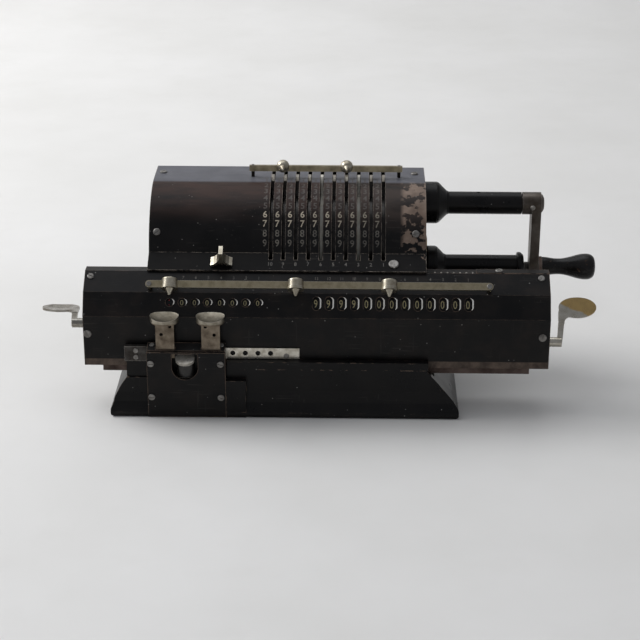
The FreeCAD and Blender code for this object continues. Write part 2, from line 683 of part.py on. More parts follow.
def shift_box():
    """An open-fronted box with a sloping top that guides the keys."""
    inner_front = box_front + box_plate
    outline = [(inner_front, 0.6), (box_back, 0.6), (box_back, box_top_back), (inner_front, box_top_front + 0.6)]
    shell = slab_yz(outline, box_left, box_right)
    cavity = [(inner_front - 1, 2.2), (box_back - 0.7, 2.2), (box_back - 0.7, box_top_back - 1.8),
              (inner_front - 1, box_top_front - 1.1)]
    shell = shell.cut(slab_yz(cavity, box_left + 1.5, box_right - 1.5))
    for x in key_x:
        shell = shell.cut(box(x - 5.6, x + 5.6, -59.7, -57.5, 35, 50))
    return shell


def shift_box_front_plate():
    """The plate over the box's front, with a finger notch."""
    plate = box(box_left - 0.2, box_right + 0.2, box_front, box_front + box_plate - fit, 0.4, box_top_front)
    notch = box(button_x - notch_half, button_x + notch_half, box_front - 1, box_front + 3, notch_low,
                box_top_front - 1.0)
    round_end = Part.makeCylinder(notch_half, 4, vec(button_x, box_front - 1, notch_low), vec(0, 1, 0))
    return plate.cut([notch, round_end])


def oval_cap(x, y, z, half_x, half_y, thickness, tilt, dish_depth):
    """An oval button top, its upper face dished, tilted towards the front."""
    face = Part.Face(Part.Wire([Part.Ellipse(vec(0, 0, 0), half_x, half_y).toShape()]))
    cap = face.extrude(vec(0, 0, thickness))
    if dish_depth > 0:
        radius = (half_x ** 2 + dish_depth ** 2) / (2 * dish_depth)
        cap = cap.cut(Part.makeSphere(radius, vec(0, 0, thickness + radius - dish_depth)))
    cap.rotate(vec(0, 0, thickness), vec(1, 0, 0), tilt)
    cap.translate(vec(x, y, z - thickness))
    return cap


def shift_key(x):
    """A key: a flat drilled stem with a dished oval top."""
    wide = box(x - 5.25, x + 5.25, -59.4, -57.8, box_top_front - 4.5, 59.4)
    narrow = box(x - 2.8, x + 2.8, -59.4, -57.8, 14, box_top_front - 4.4)
    top = oval_cap(x, -58.9, 62.2, 8.1, 5.2, 4.0, 12, 1.8)
    key = joined([wide, narrow, top])
    toward = 1 if x < button_x else -1
    for shift, height in ((2.9 * toward, 55.6), (-2.0 * toward, 50.6)):
        key = key.cut(Part.makeCylinder(1.0, 4, vec(x + shift, -60.5, height), vec(0, 1, 0)))
    return key


def release_button():
    """A push button with an oval body and a sloping top."""
    body = oval_cap(button_x, -57.7, 35.4, 5.0, 2.2, 11.4, 0, 0)
    return joined([body, oval_cap(button_x, -60.2, 36.6, 5.5, 4.6, 2.0, 28, 0)])


def left_rail_bracket():
    return box(base_top_left - 0.8, box_left - 0.3, -57.2, box_back, 33.2, 42.2)


def step_rack():
    """A strip of holes at the decimal pitch on the carriage's front."""
    front = carriage_front - 1.0
    strip = box(-64.0, 8.4, front, carriage_front, 33.6, 40.1)
    cuts = []
    for index in range(rack_holes):
        x = rack_first_hole_x - decimal_pitch * index
        cuts.append(Part.makeCylinder(1.5, 3, vec(x, front - 1, 37.0), vec(0, 1, 0)))
    return strip.cut(cuts)


def setting_clear_lever():
    """A three-winged thumb lever on a pin through the skirt, held by a disc underneath."""
    outline = [(-6.2, 0.5), (-6.2, 1.7), (-4.4, 2.4), (-2.6, 4.0), (-1.15, 6.2), (-1.15, 11.5), (1.15, 11.5),
               (1.15, 6.2), (2.6, 4.0), (4.4, 2.4), (6.2, 1.7), (6.2, 0.5), (4.2, 0.9), (2.2, 2.4), (0.9, 3.6),
               (-0.9, 3.6), (-2.2, 2.4), (-4.2, 0.9)]
    wings = slab_xz(outline, -3.0, 3.0)
    pin = post(0, 0, -2.6, 4.2, clear_pin_radius)
    disc = post(0, 0, -2.6, -1.3, 2 * clear_pin_radius)
    return on_skirt(joined([wings, pin, disc]))


def frame_screws():
    shapes = []
    up = (0, 0, 1)
    front = (0, -1, 0)
    for x in (-74.6, 74.6):
        shapes.append(screw(x, 27.0, cover_top, up, 2.1, 0.9, 5))
        y, z = on_drum(61.5, cover_radius)
        outward = (0, y - drum_y, z - drum_z)
        shapes.append(screw(x, y, z, outward, 2.1, 0.9, 5))
    skirt_share = 0.6
    skirt_y = crease[0] + (lip_y - crease[0]) * skirt_share
    skirt_z = crease[1] + (lip_z - crease[1]) * skirt_share
    shapes.append(screw(61.9, skirt_y, skirt_z, (0, lip_z - crease[1], crease[0] - lip_y), 3.0, 1.1, 1.4))
    top_slope = math.atan2(box_top_back - box_top_front - 0.6, box_back - box_front - box_plate)
    top_normal = (0, -math.sin(top_slope), math.cos(top_slope))
    top_screw_y = -56.2
    top_screw_z = box_top_back - (box_back - top_screw_y) * math.tan(top_slope)
    for x in (-75.9, -36.2):
        for z in (33.6, 12.8):
            shapes.append(screw(x, box_front, z, front, 1.95, 0.7, 1.2))
        shapes.append(screw(x + 0.5, top_screw_y, top_screw_z, top_normal, 1.4, 0.5, 1.6))
    for x in (top_rail_ends[0] + 2.0, top_rail_ends[1] - 2.0):
        shapes.append(screw(x, top_rail_y, top_rail_z + rail_half_height - 0.3, up, 0.9, 0.4, 1.5))
    for z in (35.6, 39.6):
        shapes.append(screw(-84.6, -57.2, z, front, 1.5, 0.6, 2.5))
    return Part.makeCompound(shapes)


def carriage_screws():
    shapes = []
    front = (0, -1, 0)
    run = math.hypot(upper_bend[0] - middle_bend[0], upper_bend[1] - middle_bend[1])
    facet = (0, -(upper_bend[1] - middle_bend[1]) / run, (upper_bend[0] - middle_bend[0]) / run)
    for x, share in ((-111.4, 0.28), (146.1, 0.21)):
        y = upper_bend[0] + (middle_bend[0] - upper_bend[0]) * share
        z = upper_bend[1] + (middle_bend[1] - upper_bend[1]) * share
        shapes.append(screw(x, y, z, facet, 1.9, 0.7, 3))
    for x in (-112.4, 146.6):
        shapes.append(screw(x, carriage_front, 47.8, front, 2.3, 0.8, 3))
    shapes.append(screw(122.3, -29.9, carriage_top + 0.3, (0, 0, 1), 2.3, 0.7, 2.2))
    shapes.append(screw(1.0, carriage_front - 1.0, 35.4, front, 1.6, 0.3, 1.8))
    tilt = math.radians(front_rail_tilt)
    out = (0, -math.cos(tilt), -math.sin(tilt))
    for x in (front_rail_ends[0] + rail_half_height, front_rail_ends[1] - rail_half_height):
        y = front_rail_y + out[1] * rail_half_thickness
        z = front_rail_z + out[2] * rail_half_thickness
        shapes.append(screw(x, y, z, out, 1.5, 0.5, 1.2))
    return Part.makeCompound(shapes)


def build():
    parts["base_casting"] = base_casting()
    parts["base_bottom_plate"] = base_bottom_plate()
    parts["front_guide_rail"], parts["rear_guide_rail"] = guide_rails()
    parts["drum_cover"] = drum_cover()
    parts["rear_cover"] = rear_cover()
    parts["left_side_frame"] = side_frame(cover_left, cover_left + side_thickness)
    right_frame = side_frame(cover_right - side_thickness, cover_right)
    parts["right_side_frame"] = right_frame.cut(rod(60, 100, crank_y, crank_z, sleeve_radius + fit))
    parts["drum_bushes"] = drum_bushes()
    parts["pinwheel_drum"] = pinwheel_drum()
    for index, x in enumerate(reversed(slot_x)):
        parts["setting_lever_%02d" % (index + 1)] = setting_lever(x)
    parts["drum_gear"], parts["crank_gear"] = gear_pair()
    parts["counter_finger"] = counter_finger()
    parts["transfer_gears"] = transfer_gears()
    parts["transfer_bearers"] = transfer_bearers()
    parts["tie_rods"] = tie_rods()
    parts["crank_sleeve"] = crank_sleeve()
    parts["crank_rest_post"] = crank_rest_post()
    parts["crank_arm"] = crank_arm()
    parts["crank_shaft"] = crank_shaft()
    parts["handle_pin"] = handle_pin()
    parts["handle_collar"] = handle_collar()
    parts["crank_handle"] = crank_handle()
    parts["carriage_cover"] = carriage_cover()
    parts["carriage_left_end"] = carriage_end(carriage_left, carriage_left + end_plate, counter_clear_z)
    parts["carriage_right_end"] = carriage_end(carriage_right - end_plate, carriage_right, result_clear_z)
    parts["carriage_bottom_rail"] = carriage_bottom_rail()
    parts["dial_shaft"] = rod(carriage_left + end_plate, carriage_right - end_plate, dial_y, dial_z, dial_shaft_radius)
    parts["counter_dials"] = Part.makeCompound([dial(x) for x in counter_x])
    parts["result_dials"] = Part.makeCompound([dial(x) for x in result_x])
    parts["result_clear_lever"] = clear_lever(1, result_clear_z, -25)
    parts["counter_clear_lever"] = clear_lever(-1, counter_clear_z, -81)
    parts["front_marker_rail"] = front_marker_rail()
    parts["top_marker_rail"] = top_marker_rail()
    for index, x in enumerate(front_marker_x):
        parts["front_marker_%d" % (index + 1)] = front_marker(x)
    for index, x in enumerate(top_marker_x):
        parts["top_marker_%d" % (index + 1)] = top_marker(x)
    parts["shift_box"] = shift_box()
    parts["shift_box_front_plate"] = shift_box_front_plate()
    parts["shift_key_left"] = shift_key(key_x[0])
    parts["shift_key_right"] = shift_key(key_x[1])
    parts["release_button"] = release_button()
    parts["left_rail_bracket"] = left_rail_bracket()
    parts["step_rack"] = step_rack()
    parts["setting_clear_lever"] = setting_clear_lever()
    parts["frame_screws"] = frame_screws()
    parts["carriage_screws"] = carriage_screws()

    # Each screw has its own hole in the pieces that it passes through
    frame_holes = ("drum_cover", "left_side_frame", "right_side_frame", "shift_box", "shift_box_front_plate",
                   "left_rail_bracket", "top_marker_rail")
    for name in frame_holes:
        parts[name] = parts[name].cut(parts["frame_screws"])
    carriage_holes = ("carriage_cover", "carriage_left_end", "carriage_right_end", "step_rack", "front_marker_rail")
    for name in carriage_holes:
        parts[name] = parts[name].cut(parts["carriage_screws"])


build()
os.makedirs("parts", exist_ok=True)
for name, shape in parts.items():
    shape.exportStep("parts/%s.step" % name)
    box_size = shape.BoundBox
    print("%-24s solids %2d valid %s  x %.1f..%.1f y %.1f..%.1f z %.1f..%.1f" % (
        name, len(shape.Solids), shape.isValid(), box_size.XMin, box_size.XMax,
        box_size.YMin, box_size.YMax, box_size.ZMin, box_size.ZMax))
print(len(parts), "nodes")
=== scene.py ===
import math

import bmesh
import bpy
from mathutils import Matrix, Vector


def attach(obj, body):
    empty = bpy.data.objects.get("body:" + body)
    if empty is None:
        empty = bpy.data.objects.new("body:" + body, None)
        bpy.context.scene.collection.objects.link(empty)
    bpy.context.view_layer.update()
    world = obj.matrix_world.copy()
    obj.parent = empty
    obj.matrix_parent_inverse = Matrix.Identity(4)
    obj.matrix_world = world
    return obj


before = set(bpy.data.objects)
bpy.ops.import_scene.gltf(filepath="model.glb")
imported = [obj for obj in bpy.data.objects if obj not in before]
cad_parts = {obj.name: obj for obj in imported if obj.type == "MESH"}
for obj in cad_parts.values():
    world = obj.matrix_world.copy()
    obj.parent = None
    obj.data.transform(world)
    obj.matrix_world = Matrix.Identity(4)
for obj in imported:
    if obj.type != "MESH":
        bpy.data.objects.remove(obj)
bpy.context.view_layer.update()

# Places on the machine, in metres, matching the construction
pitch = 0.0072
slot_x = [-0.0088 + pitch * index for index in range(10)]
counter_x = [-0.0655 + pitch * index for index in range(8)]
result_x = [0.0179 + pitch * index for index in range(13)]
drum_axis = Vector((0, 0.0165, 0.0783))
cover_radius = 0.0403
crease = Vector((0, -0.0229, 0.08675))
lip = Vector((0, -0.0348, 0.0803))
upper_bend = Vector((0, -0.0336, 0.0792))
middle_bend = Vector((0, -0.0455, 0.0708))
ridge = Vector((0, -0.0524, 0.0585))
window_middle = middle_bend.lerp(ridge, 0.40)
facet_down = (ridge - middle_bend).normalized()
facet_out = Vector((0, facet_down.z, -facet_down.y))
upper_down = (middle_bend - upper_bend).normalized()
upper_out = Vector((0, upper_down.z, -upper_down.y))
skirt_down = (lip - crease).normalized()
skirt_out = Vector((0, skirt_down.z, -skirt_down.y))
dial_radius = 0.0126
dial_axis = window_middle - facet_out * (0.0010 + 0.0005 + dial_radius)

# Windows as half width, half height and the width of the painted highlight on the bevel's right side
round_window = (0.0023, 0.0023, 0.0006)
long_window = (0.0021, 0.0038, 0.0008)

# Where one finish gives way to another, or where painted light starts (the flat top's painted reflection, the
# paddle's painted reflection, the lit tips of the setting rings), along X, up Z and outwards from the drum's axis
right_end_places = (0.0655, 0.0680)
flat_top_heights = (0.1181, 0.1184)
skirt_heights = (0.0866, 0.0872)
ragged_edge_heights = (0.0985, 0.0995)
paddle_reflection_heights = (0.1116, 0.1124)
button_top_heights = (0.0328, 0.0332)
key_cap_foot = 0.0585
top_rail_foot = 0.1224
carriage_bare_height = 0.0325
finger_tip_reaches = (0.0392, 0.0398)

# Small domed pins: radius and rise
top_pin_count = 7
first_top_pin = Vector((0.0855, -0.0328, 0.0792))
top_pin_size = (0.00055, 0.0005)
hub_pin_place = Vector((0.1446, 0.0154, 0.1020))
hub_pin_size = (0.0016, 0.0010)

# Figures: heights, width shares, and the thickening of their outlines
cover_figure_step = 8.1
cover_figure_start = -3.1
cover_figure_height = 0.0041
cover_figure_width = 0.93
skirt_figure_height = 0.0026
carriage_figure_height = 0.0020
counter_figure_size = (0.0031, 0.95)
result_figure_size = (0.0046, 0.72)
figure_shift = 0.00035
painted_weight = 0.008
wheel_weight = 0.0

# Figures that show in the windows
counter_shows = (1, 0, 0, 0, 0, 0, 0, 0)
result_shows = (9, 9, 9, 9, 0, 0, 0, 0, 0, 0, 0, 0, 0)
lift = 0.00004


class Paint:
    """A procedural material. Its methods return node outputs that can feed one another."""

    def __init__(self, name):
        self.material = bpy.data.materials.new(name)
        self.material.use_nodes = True
        self.nodes = self.material.node_tree.nodes
        self.links = self.material.node_tree.links
        self.shader = self.nodes["Principled BSDF"]
        self.place = self.nodes.new("ShaderNodeTexCoord").outputs["Object"]
        parts = self.nodes.new("ShaderNodeSeparateXYZ")
        self.links.new(self.place, parts.inputs[0])
        self.x, self.y, self.z = parts.outputs

    def feed(self, socket, value):
        if isinstance(value, bpy.types.NodeSocket):
            self.links.new(value, socket)
        elif isinstance(value, tuple) and len(value) == 3 and socket.type == "RGBA":
            socket.default_value = (*value, 1.0)
        else:
            socket.default_value = value

    def stretched(self, scale, turn=(0, 0, 0)):
        node = self.nodes.new("ShaderNodeMapping")
        self.feed(node.inputs["Vector"], self.place)
        node.inputs["Scale"].default_value = scale
        node.inputs["Rotation"].default_value = turn
        return node.outputs[0]

    def noise(self, size, detail=3.0, stretch=(1, 1, 1), turn=(0, 0, 0), rough=0.55):
        """Noise with features about the given size in metres."""
        node = self.nodes.new("ShaderNodeTexNoise")
        self.feed(node.inputs["Vector"], self.stretched(stretch, turn))
        node.inputs["Scale"].default_value = 1.0 / size
        node.inputs["Detail"].default_value = detail
        node.inputs["Roughness"].default_value = rough
        return node.outputs[0]

    def cells(self, size, stretch=(1, 1, 1), turn=(0, 0, 0)):
        """Distance from scattered points about the given size apart."""
        node = self.nodes.new("ShaderNodeTexVoronoi")
        self.feed(node.inputs["Vector"], self.stretched(stretch, turn))
        node.inputs["Scale"].default_value = 1.0 / size
        return node.outputs["Distance"]

    def ramp(self, value, low, high, start=0.0, end=1.0):
        node = self.nodes.new("ShaderNodeMapRange")
        node.clamp = True
        self.feed(node.inputs["Value"], value)
        node.inputs["From Min"].default_value = low
        node.inputs["From Max"].default_value = high
        node.inputs["To Min"].default_value = start
        node.inputs["To Max"].default_value = end
        return node.outputs[0]

    def calc(self, operation, a, b=0.0):
        node = self.nodes.new("ShaderNodeMath")
        node.operation = operation
        self.feed(node.inputs[0], a)
        self.feed(node.inputs[1], b)
        return node.outputs[0]

    def times(self, a, b):
        return self.calc("MULTIPLY", a, b)

    def most(self, a, b):
        return self.calc("MAXIMUM", a, b)

    def mix(self, share, a, b):
        node = self.nodes.new("ShaderNodeMix")
        node.data_type = "RGBA"
        self.feed(node.inputs["Factor"], share)
        self.feed(node.inputs[6], a)
        self.feed(node.inputs[7], b)
        return node.outputs[2]

    def edges(self, radius):
        """About 1 along sharp edges and 0 on open faces."""
        bevel = self.nodes.new("ShaderNodeBevel")
        bevel.samples = 4
        bevel.inputs["Radius"].default_value = radius
        plain = self.nodes.new("ShaderNodeNewGeometry")
        dot = self.nodes.new("ShaderNodeVectorMath")
        dot.operation = "DOT_PRODUCT"
        self.links.new(bevel.outputs[0], dot.inputs[0])
        self.links.new(plain.outputs["Normal"], dot.inputs[1])
        return self.ramp(dot.outputs["Value"], 0.985, 0.88)

    def scratches(self, amount):
        """Thin hairlines in three directions, broken up by a slower noise."""
        fine = self.ramp(self.noise(0.0011, 1.0, (0.06, 1, 1), (0, 0.5, 0.3)), 0.675, 0.70)
        other = self.ramp(self.noise(0.0013, 1.0, (0.05, 1, 1), (0.2, -0.9, 0.1)), 0.685, 0.71)
        upright = self.ramp(self.noise(0.0012, 1.0, (1, 1, 0.05), (0.3, 0.25, 0)), 0.69, 0.72)
        lines = self.most(self.most(fine, other), upright)
        patches = self.ramp(self.noise(0.018, 2.0), 0.56 - 0.14 * amount, 0.72)
        return self.times(lines, patches)

    def dust(self, size, share):
        """Small pale specks, thicker in some places than in others."""
        specks = self.ramp(self.cells(size), 0.12, 0.07)
        chosen = self.ramp(self.noise(size * 0.9, 0.0), 0.66 - share, 0.68 - share)
        return self.times(specks, chosen)

    def bump(self, height, distance, strength=1.0):
        node = self.nodes.new("ShaderNodeBump")
        node.inputs["Strength"].default_value = strength
        node.inputs["Distance"].default_value = distance
        self.feed(node.inputs["Height"], height)
        self.feed(self.shader.inputs["Normal"], node.outputs[0])

    def surface(self, color, roughness, metallic=0.0, specular=0.5):
        self.feed(self.shader.inputs["Base Color"], color)
        self.feed(self.shader.inputs["Roughness"], roughness)
        self.feed(self.shader.inputs["Metallic"], metallic)
        self.feed(self.shader.inputs["Specular IOR Level"], specular)
        return self.material


def lacquer(name, brown=0.0, worn=0.3, gloss=0.22, bare_below=None):
    """Old black lacquer: hairlines, dust, rubbed edges and slow changes of sheen; tarnished metal below a height."""
    paint = Paint(name)
    cloud = paint.noise(0.022, 4.0)
    grain = paint.noise(0.0014, 3.0)
    black = paint.mix(paint.ramp(cloud, 0.35, 0.7), (0.0042, 0.0040, 0.0042), (0.0095, 0.0085, 0.0080))
    tinted = paint.mix(paint.ramp(paint.noise(0.011, 5.0), 0.45, 0.75, 0.0, brown), black, (0.045, 0.026, 0.018))
    edge = paint.edges(0.0007)
    rubbed = paint.times(edge, paint.ramp(paint.noise(0.004, 4.0), 0.62 - 0.3 * worn, 0.70 - 0.2 * worn))
    scratched = paint.scratches(worn)
    dusty = paint.dust(0.0032, 0.05)
    color = paint.mix(paint.times(scratched, 0.11), tinted, (0.16, 0.145, 0.13))
    color = paint.mix(rubbed, color, (0.20, 0.145, 0.11))
    color = paint.mix(paint.times(dusty, 0.6), color, (0.34, 0.33, 0.31))
    if bare_below is not None:
        stain = paint.ramp(paint.noise(0.005, 4.0), 0.35, 0.65)
        tarnish = paint.mix(stain, (0.12, 0.088, 0.068), (0.05, 0.036, 0.028))
        color = paint.mix(paint.ramp(paint.z, bare_below, bare_below - 0.0003), color, tarnish)
    rough = paint.ramp(cloud, 0.3, 0.75, gloss, gloss + 0.16)
    rough = paint.calc("ADD", rough, paint.times(paint.most(dusty, rubbed), 0.35))
    rough = paint.calc("ADD", rough, paint.times(grain, 0.06))
    height = paint.calc("ADD", paint.times(grain, 0.35), paint.times(scratched, -0.8))
    paint.bump(height, 0.00002, 0.5)
    return paint.surface(color, rough, paint.times(rubbed, 0.5), 0.16)


def worn_cover_paint():
    """The drum cover's lacquer: brown where hands have rubbed the crest, dull on the skirt, patchy at the right, with
    a painted blue-grey reflection on the flat top and light edges that are partly worn lacquer and partly painted
    highlight.
    """
    paint = Paint("drum_cover_lacquer")
    cloud = paint.noise(0.020, 4.0)
    grain = paint.noise(0.0014, 3.0)
    blotch = paint.noise(0.006, 5.0)
    streak = paint.noise(0.009, 4.0, (0.25, 1, 1))
    black = paint.mix(paint.ramp(cloud, 0.35, 0.7), (0.0045, 0.0043, 0.0044), (0.010, 0.009, 0.0088))
    toward_right = paint.ramp(paint.x, 0.000, 0.056, 0.0, 0.004)
    crest = paint.ramp(paint.calc("ADD", paint.z, toward_right), 0.1015, 0.1150)
    rubbed = paint.times(crest, paint.ramp(streak, 0.26, 0.58))
    brown = paint.mix(paint.ramp(paint.x, 0.010, 0.055), (0.050, 0.028, 0.022), (0.050, 0.036, 0.030))
    color = paint.mix(paint.times(rubbed, 0.85), black, brown)
    right_end = paint.ramp(paint.x, *right_end_places)
    ragged = paint.calc("ADD", paint.z, paint.times(paint.noise(0.004, 4.0), 0.020))
    above_edge = paint.ramp(ragged, *ragged_edge_heights)
    patches = paint.ramp(blotch, 0.43, 0.47)
    end_wear = paint.times(paint.times(right_end, above_edge), patches)
    end_color = paint.mix(paint.ramp(paint.noise(0.009, 3.0), 0.35, 0.65), (0.25, 0.185, 0.145), (0.13, 0.092, 0.070))
    color = paint.mix(paint.times(end_wear, 0.9), color, end_color)
    # Painted reflection: the flat top gets a lighter blue-grey colour for the pale backdrop it reflects
    flat_top = paint.ramp(paint.z, *flat_top_heights)
    painted_backdrop_reflection = paint.mix(paint.ramp(cloud, 0.3, 0.7), (0.118, 0.120, 0.137), (0.092, 0.093, 0.104))
    color = paint.mix(flat_top, color, painted_backdrop_reflection)
    # Light edges: partly lacquer worn through to the metal, partly a painted edge highlight
    edge = paint.edges(0.0005)
    worn_and_highlit_edges = paint.times(edge, paint.ramp(paint.noise(0.003, 4.0), 0.36, 0.52))
    scratched = paint.scratches(0.5)
    dusty = paint.dust(0.0030, 0.06)
    color = paint.mix(paint.times(scratched, 0.14), color, (0.17, 0.15, 0.135))
    color = paint.mix(paint.times(worn_and_highlit_edges, 0.9), color, (0.34, 0.29, 0.24))
    color = paint.mix(paint.times(dusty, 0.6), color, (0.33, 0.31, 0.29))
    rough = paint.ramp(cloud, 0.3, 0.75, 0.28, 0.40)
    rough = paint.calc("ADD", rough, paint.times(paint.most(dusty, rubbed), 0.14))
    height = paint.calc("ADD", paint.times(grain, 0.4), paint.times(scratched, -0.8))
    paint.bump(height, 0.00002, 0.6)
    sheen = paint.ramp(paint.z, *skirt_heights, 0.05, 0.15)
    return paint.surface(color, rough, paint.times(worn_and_highlit_edges, 0.4), sheen)


def nickel(name, tint=(0.50, 0.46, 0.37), dull=(0.24, 0.205, 0.15), gloss=0.22, metal=1.0, pitting=0.35,
           rim=0.5, stem=None):
    """Old nickel plate: warm, cloudy and pitted, with brighter edges; stem is a height and the colours below it."""
    paint = Paint(name)
    cloud = paint.noise(0.0045, 5.0)
    pits = paint.ramp(paint.cells(0.0011), 0.20, 0.08)
    chosen = paint.ramp(paint.noise(0.0016, 2.0), 0.56, 0.62)
    pitted = paint.times(pits, chosen)
    brushed = paint.noise(0.0006, 2.0, (0.15, 1, 1))
    color = paint.mix(paint.ramp(cloud, 0.38, 0.72), tint, dull)
    color = paint.mix(paint.times(pitted, pitting), color, (0.05, 0.038, 0.026))
    bright = paint.times(paint.edges(0.0004), rim)
    color = paint.mix(bright, color, (0.78, 0.74, 0.66))
    if stem is not None:
        height, light, shade = stem
        # Darker colours below the stem height
        below_stem_colour = paint.mix(paint.ramp(cloud, 0.38, 0.68), light, shade)
        color = paint.mix(paint.ramp(paint.z, height, height - 0.0005), color, below_stem_colour)
    rough = paint.ramp(cloud, 0.3, 0.75, gloss, gloss + 0.22)
    rough = paint.calc("ADD", rough, paint.times(brushed, 0.08))
    paint.bump(paint.calc("SUBTRACT", paint.times(brushed, 0.25), paint.times(pitted, pitting)), 0.00003, 0.5)
    return paint.surface(color, rough, metal)


def lever_metal():
    """A setting ring: painted shade darkens it down in its groove, and a painted highlight brightens the finger's
    tip.
    """
    paint = Paint("setting_ring")
    up = paint.calc("SUBTRACT", paint.z, drum_axis.z)
    back = paint.calc("SUBTRACT", paint.y, drum_axis.y)
    reach = paint.calc("SQRT", paint.calc("ADD", paint.times(up, up), paint.times(back, back)))
    # Painted light: bright near the cover's surface as if lit, dark further in as if shaded by the groove
    tip = paint.ramp(reach, *finger_tip_reaches)
    cloud = paint.noise(0.003, 4.0)
    dark = paint.mix(paint.ramp(cloud, 0.35, 0.65), (0.045, 0.040, 0.036), (0.022, 0.019, 0.017))
    bright = paint.mix(paint.ramp(cloud, 0.35, 0.65), (0.80, 0.76, 0.67), (0.55, 0.50, 0.42))
    color = paint.mix(tip, dark, bright)
    paint.bump(paint.noise(0.0006, 2.0, (1, 0.2, 0.2)), 0.00002, 0.4)
    return paint.surface(color, paint.ramp(cloud, 0.3, 0.7, 0.22, 0.38), paint.ramp(tip, 0, 1, 0.5, 0.9))


def golden_paddle():
    """Nickel plate with a painted golden reflection on the paddle's outer part, beyond a wavy slanting line."""
    paint = Paint("golden_paddle")
    cloud = paint.noise(0.004, 4.0)
    line = paint.calc("ADD", paint.z, paint.times(paint.x, 0.333))
    line = paint.calc("ADD", line, paint.times(paint.noise(0.006, 3.0), 0.0022))
    painted_gold_reflection = paint.mix(paint.ramp(cloud, 0.35, 0.7), (0.50, 0.345, 0.145), (0.38, 0.265, 0.12))
    plate = paint.mix(paint.ramp(cloud, 0.35, 0.7), (0.50, 0.47, 0.41), (0.36, 0.33, 0.27))
    # Painted reflection: golden beyond the slanting line, plain nickel before it
    color = paint.mix(paint.ramp(line, *paddle_reflection_heights), plate, painted_gold_reflection)
    color = paint.mix(paint.times(paint.edges(0.0005), 0.5), color, (0.66, 0.60, 0.50))
    paint.bump(paint.noise(0.0007, 2.0, (0.2, 1, 1)), 0.00002, 0.4)
    return paint.surface(color, paint.ramp(cloud, 0.3, 0.7, 0.16, 0.32), 1.0)


def button_metal():
    """A plated button top over a blackened body."""
    paint = Paint("release_button")
    cloud = paint.noise(0.003, 4.0)
    plate = paint.mix(paint.ramp(cloud, 0.35, 0.7), (0.60, 0.565, 0.50), (0.36, 0.33, 0.28))
    black = paint.mix(paint.ramp(cloud, 0.35, 0.7), (0.014, 0.013, 0.012), (0.035, 0.031, 0.028))
    top = paint.ramp(paint.z, *button_top_heights)
    color = paint.mix(top, black, plate)
    color = paint.mix(paint.times(paint.edges(0.0005), 0.6), color, (0.55, 0.50, 0.42))
    paint.bump(paint.noise(0.0007, 3.0), 0.00002, 0.4)
    return paint.surface(color, paint.ramp(cloud, 0.3, 0.7, 0.25, 0.42), paint.ramp(top, 0, 1, 0.2, 0.45))


def aged_steel(name, light=(0.34, 0.31, 0.28), dark=(0.10, 0.075, 0.055), gloss=0.34):
    """Bare steel with brown tarnish and long machining marks."""
    paint = Paint(name)
    cloud = paint.noise(0.009, 5.0)
    marks = paint.noise(0.0007, 2.0, (0.08, 1, 1))
    spots = paint.ramp(paint.noise(0.0016, 4.0), 0.60, 0.70)
    color = paint.mix(paint.ramp(cloud, 0.38, 0.66), light, dark)
    color = paint.mix(paint.times(spots, 0.6), color, (0.07, 0.043, 0.028))
    edge = paint.times(paint.edges(0.0005), 0.45)
    color = paint.mix(edge, color, (0.5, 0.47, 0.43))
    rough = paint.ramp(cloud, 0.3, 0.7, gloss, gloss + 0.2)
    rough = paint.calc("ADD", rough, paint.times(marks, 0.1))
    paint.bump(paint.calc("SUBTRACT", marks, spots), 0.00002, 0.5)
    return paint.surface(color, rough, paint.ramp(spots, 0, 1, 0.95, 0.4))


def brass():
    paint = Paint("old_brass")
    cloud = paint.noise(0.006, 5.0)
    marks = paint.noise(0.0008, 2.0, (1, 0.2, 0.2))
    color = paint.mix(paint.ramp(cloud, 0.35, 0.7), (0.56, 0.40, 0.18), (0.26, 0.17, 0.08))
    rough = paint.ramp(cloud, 0.3, 0.7, 0.3, 0.5)
    paint.bump(marks, 0.00002, 0.4)
    return paint.surface(color, rough, 1.0)


def handle_paint():
    """The grip's black finish, with a few brown worn spots."""
    paint = Paint("handle_black")
    cloud = paint.noise(0.008, 4.0)
    spots = paint.ramp(paint.noise(0.0042, 4.0), 0.65, 0.71)
    lines = paint.scratches(0.6)
    color = paint.mix(paint.ramp(cloud, 0.3, 0.7), (0.0055, 0.005, 0.005), (0.012, 0.010, 0.009))
    color = paint.mix(paint.times(spots, 0.75), color, (0.085, 0.046, 0.026))
    color = paint.mix(paint.times(lines, 0.3), color, (0.15, 0.13, 0.11))
    rough = paint.ramp(cloud, 0.3, 0.7, 0.2, 0.34)
    rough = paint.calc("ADD", rough, paint.times(spots, 0.25))
    paint.bump(paint.calc("SUBTRACT", paint.noise(0.0015, 3.0), spots), 0.00003, 0.4)
    return paint.surface(color, rough, 0.0, 0.22)


def dial_paint():
    """Matt black figure wheels."""
    paint = Paint("figure_wheels")
    cloud = paint.noise(0.004, 4.0)
    color = paint.mix(paint.ramp(cloud, 0.3, 0.7), (0.010, 0.010, 0.011), (0.022, 0.020, 0.019))
    rough = paint.ramp(cloud, 0.3, 0.7, 0.42, 0.6)
    paint.bump(paint.noise(0.0008, 3.0), 0.00002, 0.5)
    return paint.surface(color, rough, 0.0, 0.2)


def figure_paint(name, fresh, faded, loss=0.5, fade=0.0):
    """Filled figures, rubbed thin in places; fade is how far they dim towards the right."""
    paint = Paint(name)
    ground = (0.03, 0.027, 0.024)
    wear = paint.ramp(paint.noise(0.0011, 4.0), loss, loss + 0.14)
    slow = paint.ramp(paint.noise(0.007, 3.0), 0.35, 0.7)
    color = paint.mix(slow, fresh, faded)
    color = paint.mix(paint.times(wear, 0.75), color, ground)
    if fade > 0:
        color = paint.mix(paint.ramp(paint.x, 0.012, 0.050, 0.0, fade), color, ground)
    rough = paint.ramp(wear, 0, 1, 0.55, 0.4)
    paint.bump(paint.noise(0.0006, 3.0), 0.00002, 0.5)
    return paint.surface(color, rough)


